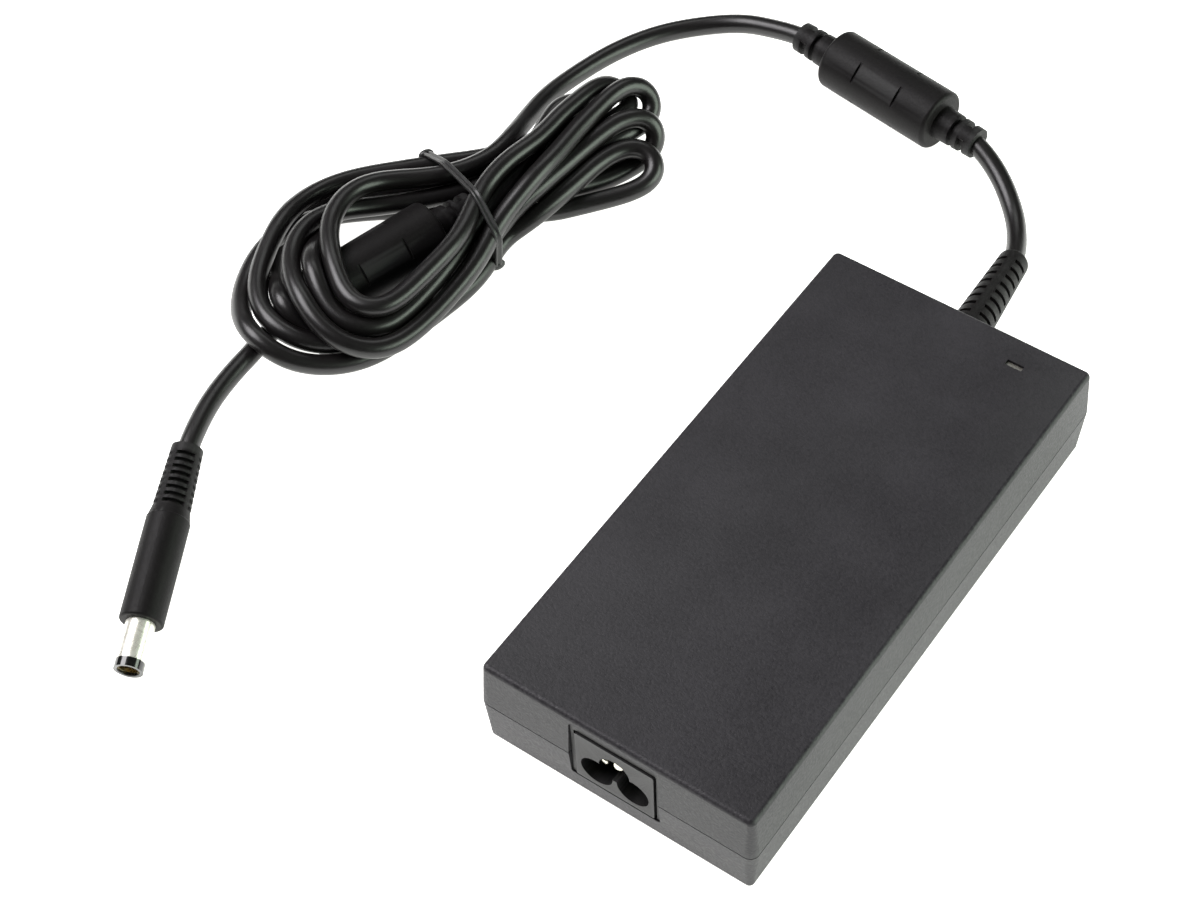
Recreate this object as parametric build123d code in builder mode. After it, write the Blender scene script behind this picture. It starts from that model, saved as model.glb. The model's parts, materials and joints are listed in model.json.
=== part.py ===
"""Laptop power adapter: a two-shell case with a three-pin inlet at one end and, at the other,
a fixed output cord with two ferrite sleeves, a tied hank and a round barrel plug.

Millimetres. +Z is up, the origin is the centre of the case's underside, the inlet faces -Y and
the cord leaves at +Y.
"""

from build123d import *
from math import atan, cos, degrees, pi, radians, sin, tan
import os

os.makedirs("parts", exist_ok=True)

# ---------------------------------------------------------------- driving dimensions

# case
case_length = 155.0
case_width = 76.0
case_height = 29.0
split_height = 14.8          # the line where the two covers meet, the widest section
top_inset = 0.95             # how far the upper cover draws in up to its top face
bottom_inset = 1.15          # how far the lower cover draws in down to its underside
wall = 2.0
corner_radius = 2.5
top_edge_radius = 1.3
bottom_edge_radius = 0.6
split_gap = 0.3              # open shadow line between the covers
tongue_height = 1.6          # lap joint behind the shadow line
tongue_play = 0.1

# indicator
lamp_x = 20.0
lamp_y = 68.0
lamp_slot = (4.6, 1.7)

# inlet
inlet_opening = (24.8, 20.6)
inlet_centre_height = 16.5
inlet_flange = (24.3, 20.1)
inlet_panel = (21.7, 17.6)
inlet_panel_height = 15.6    # centre of the raised panel
panel_setback = 0.6          # panel face behind the case's widest section
flange_setback = 1.1
cavity_depth = 13.5
pin_height = 12.8            # line and neutral
pin_spacing = 10.0
earth_rise = 4.5             # earth pin above the other two
lobe_radius = 4.4
earth_lobe_radius = 4.2
pin_radius = 1.15
earth_pin_radius = 1.5
pin_setback = 3.5            # pin tips behind the case's widest section
earth_setback = 1.8

# output cord
cord_radius = 2.75
relief_pivot = (0.0, 79.5, 14.6)
relief_tip = (-5.4, 117.1, 6.0)
relief_base_radius = 5.6
relief_tip_radius = 4.2
relief_slots = 8
relief_first_slot = 5.3
relief_slot_pitch = 4.0
relief_spine = 2.4
slot_width = 1.3

# ferrite sleeves
sleeve_radius = 8.75
sleeve_length = 38.6
collar_length = 12.8
ferrite_1_centre = (-66.1, 152.4)
ferrite_1_angle = 171.2      # heading of the cord through it, degrees from +X
ferrite_2_centre = (-146.5, 20.0)
ferrite_2_angle = 254.3

# hank
tie_centre = (-137.0, 49.0)
hank_angle = 61.4            # long axis, from the big loops towards the small ones
hank_height = 17.0
tie_width = 2.2
tie_thickness = 1.3
tie_span = 43.0              # across the bundle, inside
tie_rise = 14.2              # height of the bundle under it

# plug
plug_entry = (-144.85, -58.13, 12.66)     # the cord's end of the relief
plug_tip = (-118.1, -113.2, 3.66)         # the plug lies on its grip's edge and its tip
plug_relief_length = 17.9
plug_relief_radii = (4.1, 4.9)
plug_slots = 8
plug_first_slot = 2.6
plug_slot_pitch = 1.99
plug_slot_width = 1.05
plug_spine = 1.6
plug_spine_turn = 28.0       # from straight up, towards -X
plug_shoulder_length = 2.35
plug_grip_length = 28.75
plug_grip_radius = 5.6
barrel_radius = 3.7
barrel_length = 10.5
barrel_neck = 0.3            # narrower part that shows in front of the grip
shank_radius = 3.5
barrel_bore = 3.1
tip_ring_length = 2.4

nodes = []


def finish(builder, label):
    """Label a finished piece and write its file."""
    builder.part.label = label
    export_step(builder.part, f"parts/{label}.step")
    nodes.append(label)


# ---------------------------------------------------------------- case covers

upper_height = case_height - split_height
upper_draft = degrees(atan(top_inset / upper_height))
lower_draft = degrees(atan(bottom_inset / split_height))
inner_width = case_width - 2 * wall
inner_length = case_length - 2 * wall
inner_corner = corner_radius - wall / 2
lap_width = case_width - wall
lap_length = case_length - wall
end_face = case_length / 2


def cut_inlet_opening():
    """The opening in the -Y wall that takes the inlet's flange."""
    with BuildSketch(Plane.XZ.offset(end_face + 1)) as opening:
        with Locations((0, inlet_centre_height)):
            RectangleRounded(*inlet_opening, 0.8)
    extrude(opening.sketch, amount=-(wall + 2), mode=Mode.SUBTRACT)


def cut_cord_hole():
    """The round hole in the +Y wall that the strain relief is clamped in."""
    with BuildSketch(Plane.XZ.offset(-end_face - 1)) as hole:
        with Locations((0, split_height)):
            Circle(relief_base_radius + 0.1)
    extrude(hole.sketch, amount=wall + 2, mode=Mode.SUBTRACT)


with BuildPart() as top_cover:
    with BuildSketch(Plane.XY.offset(split_height + split_gap / 2)):
        RectangleRounded(case_width, case_length, corner_radius)
    extrude(amount=upper_height - split_gap / 2, taper=upper_draft)
    fillet(top_cover.faces().sort_by(Axis.Z)[-1].edges(), top_edge_radius)
    with BuildSketch(Plane.XY.offset(split_height)):
        RectangleRounded(inner_width, inner_length, inner_corner)
    extrude(amount=upper_height - wall, taper=upper_draft, mode=Mode.SUBTRACT)
    with BuildSketch(Plane.XY.offset(split_height)):
        RectangleRounded(lap_width, lap_length, inner_corner)
    extrude(amount=tongue_height + tongue_play, mode=Mode.SUBTRACT)
    with BuildSketch(Plane.XY.offset(case_height - wall - 1)):
        with Locations((lamp_x, lamp_y)):
            Rectangle(*lamp_slot)
    extrude(amount=wall + 2, mode=Mode.SUBTRACT)
    cut_inlet_opening()
    cut_cord_hole()
finish(top_cover, "top_cover")

label_size = (58.0, 96.0)
label_depth = 0.3
post_spots = [(-32, -50), (32, -50), (-32, 45), (32, 45)]
board_height = 5.2

with BuildPart() as bottom_cover:
    with BuildSketch(Plane.XY.offset(split_height - split_gap / 2)):
        RectangleRounded(case_width, case_length, corner_radius)
    extrude(amount=-(split_height - split_gap / 2), taper=lower_draft)
    fillet(bottom_cover.faces().sort_by(Axis.Z)[0].edges(), bottom_edge_radius)
    with BuildSketch(Plane.XY.offset(split_height)):
        RectangleRounded(inner_width, inner_length, inner_corner)
    extrude(amount=-(split_height - wall), taper=lower_draft, mode=Mode.SUBTRACT)
    with BuildSketch(Plane.XY.offset(split_height - wall)):
        RectangleRounded(lap_width - 2 * tongue_play, lap_length - 2 * tongue_play, inner_corner)
        RectangleRounded(inner_width, inner_length, inner_corner, mode=Mode.SUBTRACT)
    extrude(amount=wall + tongue_height)
    with BuildSketch(Plane.XY.offset(wall - 0.5)):
        with Locations(*post_spots):
            Circle(2.6)
    extrude(amount=board_height - wall + 0.5)
    with BuildSketch(Plane.XY):
        RectangleRounded(*label_size, 2.0)
    extrude(amount=label_depth, mode=Mode.SUBTRACT)
    cut_inlet_opening()
    cut_cord_hole()
finish(bottom_cover, "bottom_cover")

with BuildPart() as rating_plate:
    with BuildSketch(Plane.XY.offset(0.05)):
        RectangleRounded(label_size[0] - 0.6, label_size[1] - 0.6, 1.8)
    extrude(amount=label_depth - 0.05)
finish(rating_plate, "rating_plate")

# ---------------------------------------------------------------- indicator

window_foot = 12.5

with BuildPart() as indicator_window:
    with BuildSketch(Plane.XY.offset(window_foot)):
        with Locations((lamp_x, lamp_y)):
            RectangleRounded(5.6, 2.6, 0.4)
    extrude(amount=case_height - wall - 0.2 - window_foot)
    with BuildSketch(Plane.XY.offset(case_height - wall - 0.3)):
        with Locations((lamp_x, lamp_y)):
            Rectangle(lamp_slot[0] - 0.2, lamp_slot[1] - 0.2)
    extrude(amount=wall - 0.4)
finish(indicator_window, "indicator_window")

with BuildPart() as indicator_lamp:
    with BuildSketch(Plane.XY.offset(board_height + 1.7)):
        with Locations((lamp_x, lamp_y)):
            Circle(1.5)
    extrude(amount=5.2)
    fillet(indicator_lamp.faces().sort_by(Axis.Z)[-1].edges(), 1.3)
finish(indicator_lamp, "indicator_lamp")

# ---------------------------------------------------------------- inlet

panel_face = end_face - panel_setback
flange_face = end_face - flange_setback
earth_height = pin_height + earth_rise
housing_back = panel_face - cavity_depth - 2.5

with BuildPart() as inlet_housing:
    with BuildSketch(Plane.XZ.offset(flange_face)):
        with Locations((0, inlet_centre_height)):
            RectangleRounded(*inlet_flange, 0.6)
    extrude(amount=-1.4)
    with BuildSketch(Plane.XZ.offset(panel_face)):
        with Locations((0, inlet_panel_height)):
            RectangleRounded(*inlet_panel, 0.5)
    extrude(amount=-(panel_face - housing_back))
    with BuildSketch(Plane.XZ.offset(flange_face)):
        with Locations((0, inlet_panel_height)):
            RectangleRounded(inlet_panel[0] + 0.9, inlet_panel[1] + 0.9, 0.6)
            RectangleRounded(*inlet_panel, 0.5, mode=Mode.SUBTRACT)
    extrude(amount=-0.7, mode=Mode.SUBTRACT)
    with BuildSketch(Plane.XZ.offset(panel_face)):
        with Locations((-pin_spacing / 2, pin_height), (pin_spacing / 2, pin_height)):
            Circle(lobe_radius)
        with Locations((0, earth_height)):
            Circle(earth_lobe_radius)
    extrude(amount=-cavity_depth, mode=Mode.SUBTRACT)
    with BuildSketch(Plane.XZ.offset(housing_back)):
        with Locations((-pin_spacing / 2, pin_height), (pin_spacing / 2, pin_height)):
            Circle(pin_radius + 0.05)
        with Locations((0, earth_height)):
            Circle(earth_pin_radius + 0.05)
    extrude(amount=6, both=True, mode=Mode.SUBTRACT)
finish(inlet_housing, "inlet_housing")


def make_pin(label, x, height, radius, setback):
    """A round-ended pin held in the back of the inlet, with a solder tag behind it."""
    tip = end_face - setback
    tail = housing_back - 2.0
    with BuildPart() as pin:
        with BuildSketch(Plane.XZ.offset(tail)):
            with Locations((x, height)):
                Circle(radius)
        extrude(amount=tip - tail)
        fillet(pin.faces().sort_by(Axis.Y)[0].edges(), radius * 0.7)
        with BuildSketch(Plane.XZ.offset(tail)):
            with Locations((x, height)):
                Rectangle(0.8, 1.8)
        extrude(amount=-3.0)
    finish(pin, label)


make_pin("line_pin", -pin_spacing / 2, pin_height, pin_radius, pin_setback)
make_pin("neutral_pin", pin_spacing / 2, pin_height, pin_radius, pin_setback)
make_pin("earth_pin", 0, earth_height, earth_pin_radius, earth_setback)

# ---------------------------------------------------------------- board, sheets and shields

board_thickness = 1.6
board_top = board_height + board_thickness
board_size = (68.0, 128.0)
board_y = 7.0

with BuildPart() as circuit_board:
    with BuildSketch(Plane.XY.offset(board_height)):
        with Locations((0, board_y)):
            RectangleRounded(*board_size, 1.5)
        with Locations(*post_spots):
            Circle(1.2, mode=Mode.SUBTRACT)
    extrude(amount=board_thickness)
finish(circuit_board, "circuit_board")

with BuildPart() as insulation_sheet:
    with BuildSketch(Plane.XY.offset(wall + 1.0)):
        with Locations((0, board_y)):
            Rectangle(66, 126)
        with Locations(*post_spots):
            Circle(3.2, mode=Mode.SUBTRACT)
    extrude(amount=0.3)
finish(insulation_sheet, "insulation_sheet")

with BuildPart() as lower_shield:
    with BuildSketch(Plane.XY.offset(wall + 0.3)):
        with Locations((0, board_y)):
            Rectangle(62, 122)
        with Locations(*post_spots):
            Circle(3.4, mode=Mode.SUBTRACT)
    extrude(amount=0.4)
finish(lower_shield, "lower_shield")

with BuildPart() as upper_shield:
    with BuildSketch(Plane.XY.offset(case_height - wall - 0.9)):
        with Locations((0, board_y)):
            Rectangle(62, 128)
        with Locations((lamp_x, lamp_y)):
            Rectangle(8, 6, mode=Mode.SUBTRACT)
    extrude(amount=0.5)
finish(upper_shield, "upper_shield")

# ---------------------------------------------------------------- input side of the board

with BuildPart() as fuse:
    with BuildSketch(Plane.XZ.offset(52)):
        with Locations((-24, board_top + 3.4)):
            Circle(2.6)
    extrude(amount=-20)
    with BuildSketch(Plane.XZ.offset(52)):
        with Locations((-24, board_top + 3.4)):
            Circle(3.0)
    extrude(amount=-5)
    with BuildSketch(Plane.XZ.offset(37)):
        with Locations((-24, board_top + 3.4)):
            Circle(3.0)
    extrude(amount=-5)
finish(fuse, "fuse")

with BuildPart() as suppression_capacitor:
    with BuildSketch(Plane.XY.offset(board_top)):
        with Locations((24, -42)):
            RectangleRounded(11, 26, 0.8)
    extrude(amount=17)
    fillet(suppression_capacitor.faces().sort_by(Axis.Z)[-1].edges(), 0.6)
finish(suppression_capacitor, "suppression_capacitor")

choke_centre = (0, -42, board_top + 9.6)
choke_half = 4.0
choke_plane = Plane(origin=choke_centre, z_dir=(0, 1, 0))

with BuildPart() as line_choke_core:
    with BuildSketch(choke_plane.offset(-choke_half)):
        Circle(8.0)
        Circle(4.6, mode=Mode.SUBTRACT)
    extrude(amount=2 * choke_half)
finish(line_choke_core, "line_choke_core")

with BuildPart() as line_choke_winding:
    with BuildSketch(choke_plane.offset(-choke_half - 1.4)):
        Circle(9.4)
        Circle(3.2, mode=Mode.SUBTRACT)
        Rectangle(3.0, 30, mode=Mode.SUBTRACT)
    extrude(amount=2 * choke_half + 2.8)
    with BuildSketch(choke_plane.offset(-choke_half)):
        Circle(8.0)
        Circle(4.6, mode=Mode.SUBTRACT)
    extrude(amount=2 * choke_half, mode=Mode.SUBTRACT)
finish(line_choke_winding, "line_choke_winding")

with BuildPart() as bridge_rectifier:
    with BuildSketch(Plane.XY.offset(board_top + 3.0)):
        with Locations((-27, -20)):
            RectangleRounded(4, 19, 0.4)
    extrude(amount=13)
    with BuildSketch(Plane.XY.offset(board_top)):
        with Locations((-27, -20)):
            with GridLocations(1, 4.6, 1, 4):
                Rectangle(0.8, 1.2)
    extrude(amount=3.0)
finish(bridge_rectifier, "bridge_rectifier")

with BuildPart() as boost_choke_core:
    with BuildSketch(Plane.XY.offset(board_top + 1.0)):
        with Locations((18, -14)):
            Rectangle(24, 20)
    extrude(amount=17)
    with BuildSketch(Plane.XY.offset(board_top + 4.0)):
        with Locations((18, -14)):
            Rectangle(17, 22)
            Circle(4.0, mode=Mode.SUBTRACT)
    extrude(amount=11, mode=Mode.SUBTRACT)
finish(boost_choke_core, "boost_choke_core")

with BuildPart() as boost_choke_winding:
    with BuildSketch(Plane.XY.offset(board_top + 4.4)):
        with Locations((18, -14)):
            Circle(8.2)
            Circle(4.2, mode=Mode.SUBTRACT)
    extrude(amount=10.2)
    fillet(boost_choke_winding.edges().filter_by(GeomType.CIRCLE).sort_by(SortBy.RADIUS)[-2:], 0.8)
finish(boost_choke_winding, "boost_choke_winding")

with BuildPart() as bulk_capacitor:
    with BuildSketch(Plane.XZ.offset(8)):
        with Locations((-9, board_top + 9.2)):
            Circle(9.0)
    extrude(amount=-38)
    fillet(bulk_capacitor.edges().filter_by(GeomType.CIRCLE), 1.2)
finish(bulk_capacitor, "bulk_capacitor")

sink_base = board_top + 0.2

with BuildPart() as primary_heat_sink:
    with BuildSketch(Plane.XY.offset(sink_base)):
        with Locations((-31.5, -1)):
            Rectangle(2, 62)
        with Locations((-29, 25)):
            Rectangle(6, 2)
    extrude(amount=18)
finish(primary_heat_sink, "primary_heat_sink")


def make_packages(label, x, lean, spots):
    """Flat three-lead power packages that stand against a heat sink."""
    with BuildPart() as packages:
        with BuildSketch(Plane.XY.offset(board_top + 4.5)):
            with Locations(*[(x, y) for y in spots]):
                Rectangle(4.0, 10.2)
        extrude(amount=9.0)
        with BuildSketch(Plane.XY.offset(board_top + 12.0)):
            with Locations(*[(x + lean * 1.35, y) for y in spots]):
                Rectangle(1.3, 10.2)
        extrude(amount=6.0)
        with BuildSketch(Plane.XY.offset(board_top)):
            with Locations(*[(x, y + lead) for y in spots for lead in (-2.54, 0, 2.54)]):
                Rectangle(0.6, 0.9)
        extrude(amount=4.5)
    finish(packages, label)


make_packages("power_transistors", -28.3, -1, (0, 13))

# ---------------------------------------------------------------- transformer and output side

transformer_x = 12.0
transformer_y = 20.0

with BuildPart() as transformer_core:
    with BuildSketch(Plane.XY.offset(board_top + 1.2)):
        with Locations((transformer_x, transformer_y)):
            Rectangle(20, 32)
    extrude(amount=17.6)
    with BuildSketch(Plane.XY.offset(board_top + 5.0)):
        with Locations((transformer_x, transformer_y)):
            Rectangle(22, 24)
            Circle(6.0, mode=Mode.SUBTRACT)
    extrude(amount=10.0, mode=Mode.SUBTRACT)
finish(transformer_core, "transformer_core")

with BuildPart() as transformer_bobbin:
    with BuildSketch(Plane.XY.offset(board_top + 5.2)):
        with Locations((transformer_x, transformer_y)):
            Circle(11.4)
            Circle(6.2, mode=Mode.SUBTRACT)
    extrude(amount=9.6)
    with BuildSketch(Plane.XY.offset(board_top + 6.2)):
        with Locations((transformer_x, transformer_y)):
            Circle(12.4)
            Circle(7.2, mode=Mode.SUBTRACT)
    extrude(amount=7.6, mode=Mode.SUBTRACT)
finish(transformer_bobbin, "transformer_bobbin")

with BuildPart() as transformer_winding:
    with BuildSketch(Plane.XY.offset(board_top + 6.3)):
        with Locations((transformer_x, transformer_y)):
            Circle(10.9)
            Circle(7.3, mode=Mode.SUBTRACT)
    extrude(amount=7.4)
finish(transformer_winding, "transformer_winding")

with BuildPart() as secondary_heat_sink:
    with BuildSketch(Plane.XY.offset(sink_base)):
        with Locations((31.5, 36)):
            Rectangle(2, 50)
        with Locations((29, 12)):
            Rectangle(6, 2)
    extrude(amount=18)
finish(secondary_heat_sink, "secondary_heat_sink")

make_packages("output_rectifiers", 28.3, 1, (30, 43))

with BuildPart() as output_capacitors:
    with BuildSketch(Plane.XY.offset(board_top)):
        with Locations((8, 54)):
            with GridLocations(11.5, 11.5, 2, 2):
                Circle(5.0)
    extrude(amount=17)
    fillet(output_capacitors.faces().sort_by(Axis.Z)[-4:].edges(), 0.8)
finish(output_capacitors, "output_capacitors")

with BuildPart() as control_chips:
    with BuildSketch(Plane.XY.offset(board_top)):
        with Locations((-20, 40), (-20, 50), (-8, 38)):
            Rectangle(4, 5)
    extrude(amount=1.6)
finish(control_chips, "control_chips")

# ---------------------------------------------------------------- loose wires inside the case

wire_radius = 0.9


def make_wires(label, routes):
    """A group of short insulated wires, each along three or four points."""
    with BuildPart() as wires:
        for route in routes:
            with BuildLine() as wire_path:
                FilletPolyline(*route, radius=1.8)
            with BuildSketch(Plane(origin=route[0], z_dir=wire_path.line % 0)):
                Circle(wire_radius)
            sweep(path=wire_path.line)
    finish(wires, label)


tag_y = -(housing_back - 6.0)
make_wires(
    "inlet_wires",
    [
        [(-5, tag_y, 12.8), (-5, tag_y + 5, 12.8), (-11, tag_y + 6, 11.0), (-11, tag_y + 6, board_top)],
        [(5, tag_y, 12.8), (5, tag_y + 5, 12.8), (12, tag_y + 6, 11.0), (12, tag_y + 6, board_top)],
        [(0, tag_y, 17.3), (0, tag_y + 4, 17.3), (0, tag_y + 4, board_top)],
    ],
)
wire_start = end_face - wall - 3.1
make_wires(
    "output_wires",
    [
        [
            (x, wire_start, split_height),
            (x, wire_start - 3, split_height),
            (2 * x, wire_start - 4, 12),
            (2 * x, wire_start - 4, board_top),
        ]
        for x in (-2.1, 2.1)
    ],
)

# ---------------------------------------------------------------- cord

def heading(angle):
    """Unit direction on the floor at an angle from +X."""
    return Vector(cos(radians(angle)), sin(radians(angle)), 0)


def ferrite_plane(centre, angle):
    """Plane at a sleeve's middle, across the cord."""
    return Plane(origin=(*centre, sleeve_radius), x_dir=(0, 0, 1), z_dir=heading(angle))


ferrite_1_plane = ferrite_plane(ferrite_1_centre, ferrite_1_angle)
ferrite_2_plane = ferrite_plane(ferrite_2_centre, ferrite_2_angle)
ferrite_reach = sleeve_length / 2 + collar_length
ferrite_1_entry = tuple(ferrite_1_plane.offset(-ferrite_reach).origin)
ferrite_1_exit = tuple(ferrite_1_plane.offset(ferrite_reach).origin)
ferrite_2_exit = tuple(ferrite_2_plane.offset(ferrite_reach).origin)

# case to the first ferrite sleeve
lead_route = [
    relief_tip,
    (-9.0, 125.8, 4.0),
    (-14.6, 134.4, 3.5),
    (-24.2, 142.9, 5.9),
    ferrite_1_entry,
]

# first ferrite sleeve to the hank
run_route = [
    ferrite_1_exit,
    (-106.8, 157.6, 6.9),
    (-118.0, 157.0, 4.3),
    (-128.8, 150.0, 2.95),
    (-137.6, 140.0, 2.8),
    (-143.9, 127.0, 2.8),
    (-147.0, 112.0, 3.7),
    (-146.3, 98.5, 5.9),
    (-142.9, 86.0, 8.3),
]

# second ferrite sleeve to the plug
tail_route = [
    ferrite_2_exit,
    (-153.9, -21.3, 9.5),
    (-152.7, -32.6, 10.8),
    (-150.7, -42.4, 11.9),
    (-147.8, -50.9, 12.6),
    plug_entry,
]


def bend_radii(route):
    """Arc radius at each corner: as large as the shorter of its two runs allows."""
    radii = []
    for before, corner, after in zip(route, route[1:], route[2:]):
        run_in = Vector(*corner) - Vector(*before)
        run_out = Vector(*after) - Vector(*corner)
        turn = radians(run_in.get_angle(run_out))
        radii.append(0.45 * min(run_in.length, run_out.length) / tan(turn / 2))
    return radii


def make_cord(label, route):
    """A round cord along straight runs joined by tangent arcs."""
    radii = bend_radii(route)
    with BuildPart() as cord:
        with BuildLine() as path:
            FilletPolyline(*route, radius=radii)
        with BuildSketch(Plane(origin=route[0], z_dir=path.line % 0)):
            Circle(cord_radius)
        sweep(path=path.line)
    length = sum(edge.length for edge in path.line.edges())
    expected = pi * cord_radius**2 * length
    print(label, "length", round(length, 1), "radii", [round(r, 1) for r in radii])
    print(label, "volume over section times length", round(cord.part.volume / expected, 4))
    finish(cord, label)
    return cord


cord_lead = make_cord("cord_lead", lead_route)
cord_run = make_cord("cord_run", run_route)
cord_tail = make_cord("cord_tail", tail_route)

# ---------------------------------------------------------------- strain relief at the case

relief_axis = Vector(*relief_tip) - Vector(*relief_pivot)
relief_length = relief_axis.length
relief_plane = Plane(origin=relief_pivot, x_dir=(1, 0, 0), z_dir=relief_axis)
relief_draft = degrees(atan((relief_base_radius - relief_tip_radius) / relief_length))
relief_inner_end = end_face - wall - 3.0


def turned(plane, angle):
    """The same plane with its axes turned about its normal."""
    x_dir = plane.x_dir * cos(radians(angle)) + plane.y_dir * sin(radians(angle))
    return Plane(origin=plane.origin, x_dir=x_dir, z_dir=plane.z_dir)


def cut_slots(plane, first, pitch, width, root_radii, spine):
    """Open slots round a boot, cut up by four plain spines along it."""
    for number, root_radius in enumerate(root_radii):
        with BuildSketch(plane.offset(first + number * pitch)) as slot:
            Circle(sleeve_radius)
            Circle(root_radius, mode=Mode.SUBTRACT)
            Rectangle(spine, 2 * sleeve_radius, mode=Mode.SUBTRACT)
            Rectangle(2 * sleeve_radius, spine, mode=Mode.SUBTRACT)
        extrude(slot.sketch, amount=width, mode=Mode.SUBTRACT)


with BuildPart() as strain_relief:
    with BuildSketch(Plane.XZ.offset(-relief_inner_end)):
        with Locations((0, split_height)):
            Circle(7.2)
    extrude(amount=-2.1)
    with BuildSketch(Plane.XZ.offset(-relief_inner_end)):
        with Locations((0, split_height)):
            Circle(relief_base_radius)
    extrude(amount=-(relief_pivot[1] + 1.5 - relief_inner_end))
    with BuildSketch(relief_plane):
        Circle(relief_base_radius)
    extrude(amount=relief_length, taper=relief_draft)
    fillet(strain_relief.faces().sort_by(Axis.Y)[-1].edges(), 0.9)
    relief_roots = [relief_base_radius - 1.75 - 0.1 * number for number in range(relief_slots)]
    cut_slots(
        relief_plane, relief_first_slot, relief_slot_pitch, slot_width, relief_roots, relief_spine
    )
    add(cord_lead.part, mode=Mode.SUBTRACT)
finish(strain_relief, "strain_relief")

# ---------------------------------------------------------------- ferrite sleeves

collar_radii = (4.9, 4.4)    # beside the sleeve, at the end
collar_groove = (5.2, 6.8, 3.3)
collar_slot = (8.4, 10.5, 3.1)
collar_bridge = 4.2          # joins the end ring to the collar, above and below
collar_bridge_turn = 28.0    # from straight up
core_length = 28.0
core_outer = 7.0
core_inner = 3.6
mark_offset = 7.2


def make_ferrite(number, plane, *cords):
    """A moulded sleeve with stepped collars, and the ferrite core sealed inside it."""
    half = sleeve_length / 2
    bridge_plane = turned(plane, -collar_bridge_turn - 90)
    with BuildPart() as sleeve:
        with BuildSketch(plane.offset(-half)):
            Circle(sleeve_radius)
        extrude(amount=sleeve_length)
        fillet(sleeve.edges().filter_by(GeomType.CIRCLE), 1.3)
        for side in (-1, 1):
            with BuildSketch(plane.offset(side * (half - 1))):
                Circle(collar_radii[0])
            with BuildSketch(plane.offset(side * (half + collar_length))):
                Circle(collar_radii[1])
            loft()
            start, end, radius = collar_groove
            with BuildSketch(plane.offset(side * (half + start))):
                Circle(6)
                Circle(radius, mode=Mode.SUBTRACT)
            extrude(amount=side * (end - start), mode=Mode.SUBTRACT)
            start, end, radius = collar_slot
            with BuildSketch(bridge_plane.offset(side * (half + start))):
                Circle(6)
                Circle(radius, mode=Mode.SUBTRACT)
                Rectangle(collar_bridge, 12, mode=Mode.SUBTRACT)
            extrude(amount=side * (end - start), mode=Mode.SUBTRACT)
        for mark in (-mark_offset, mark_offset):
            with BuildSketch(plane.offset(mark - 0.4)):
                with PolarLocations(sleeve_radius, 4, start_angle=45):
                    Rectangle(1.6, 6.4)
            extrude(amount=0.8, mode=Mode.SUBTRACT)
        with BuildSketch(plane.offset(-core_length / 2 - 0.1)):
            Circle(core_outer + 0.1)
            Circle(core_inner - 0.1, mode=Mode.SUBTRACT)
        extrude(amount=core_length + 0.2, mode=Mode.SUBTRACT)
        for cord in cords:
            add(cord.part, mode=Mode.SUBTRACT)
    finish(sleeve, f"ferrite_sleeve_{number}")
    with BuildPart() as core:
        with BuildSketch(plane.offset(-core_length / 2)):
            Circle(core_outer)
            Circle(core_inner, mode=Mode.SUBTRACT)
        extrude(amount=core_length)
    finish(core, f"ferrite_core_{number}")


make_ferrite(1, ferrite_1_plane, cord_lead, cord_run)
make_ferrite(2, ferrite_2_plane, cord_tail)

# ---------------------------------------------------------------- hank and its tie

hank_plane = Plane(origin=(*tie_centre, 0), x_dir=heading(hank_angle), z_dir=(0, 0, 1))
tie_middle = 2.5
tie_groove = tie_width + 0.6
hank_outline = [
    (-72, -4),
    (-66, -20),
    (-52, -31),
    (-37, -35.5),
    (-19, -31),
    (0, -19),
    (16, -13),
    (34, -12.5),
    (51, -10),
    (62, -2),
    (65, 8),
    (63.5, 19),
    (55, 26),
    (38, 26.5),
    (18, 25),
    (0, 24),
    (-15, 27.5),
    (-32, 30),
    (-50, 25),
    (-65, 12),
]

with BuildPart() as hank_tie:
    with BuildSketch(hank_plane):
        with Locations((0, tie_middle)):
            Rectangle(tie_width, tie_span + 2 * tie_thickness)
    extrude(amount=tie_rise + tie_thickness)
    with BuildSketch(hank_plane.offset(tie_thickness)):
        with Locations((0, tie_middle)):
            Rectangle(tie_width + 2, tie_span)
    extrude(amount=tie_rise - tie_thickness, mode=Mode.SUBTRACT)
    fillet(hank_tie.edges().filter_by(lambda edge: abs(edge.length - tie_width) < 0.01), 1.0)
finish(hank_tie, "hank_tie")

with BuildPart() as cord_hank:
    with BuildSketch(hank_plane):
        with BuildLine():
            Spline(*hank_outline, periodic=True)
        make_face()
    extrude(amount=hank_height)
    fillet(cord_hank.faces().sort_by(Axis.Z)[-1].edges(), 5.0)
    with BuildSketch(hank_plane):
        with Locations((0, tie_middle)):
            Rectangle(tie_groove, 60)
            Rectangle(tie_groove + 1, tie_span - 1.6, mode=Mode.SUBTRACT)
    extrude(amount=hank_height + 1, mode=Mode.SUBTRACT)
    for groove_floor, groove_depth in ((0, tie_thickness + 0.2), (tie_rise - 0.2, hank_height)):
        with BuildSketch(hank_plane.offset(groove_floor)):
            with Locations((0, tie_middle)):
                Rectangle(tie_groove, 60)
        extrude(amount=groove_depth, mode=Mode.SUBTRACT)
    with BuildSketch(ferrite_2_plane.offset(-sleeve_length / 2 - 0.3)):
        Circle(sleeve_radius + 0.3)
        with Locations((sleeve_radius, 0)):
            Rectangle(2 * sleeve_radius, 2 * sleeve_radius + 0.6)
    extrude(amount=sleeve_length + 0.6, mode=Mode.SUBTRACT)
    with BuildSketch(ferrite_2_plane.offset(-ferrite_reach)):
        Circle(5.2)
    extrude(amount=2 * ferrite_reach + 0.3, mode=Mode.SUBTRACT)
    add(cord_run.part, mode=Mode.SUBTRACT)
    add(cord_tail.part, mode=Mode.SUBTRACT)
finish(cord_hank, "cord_hank")

# ---------------------------------------------------------------- plug

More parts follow.
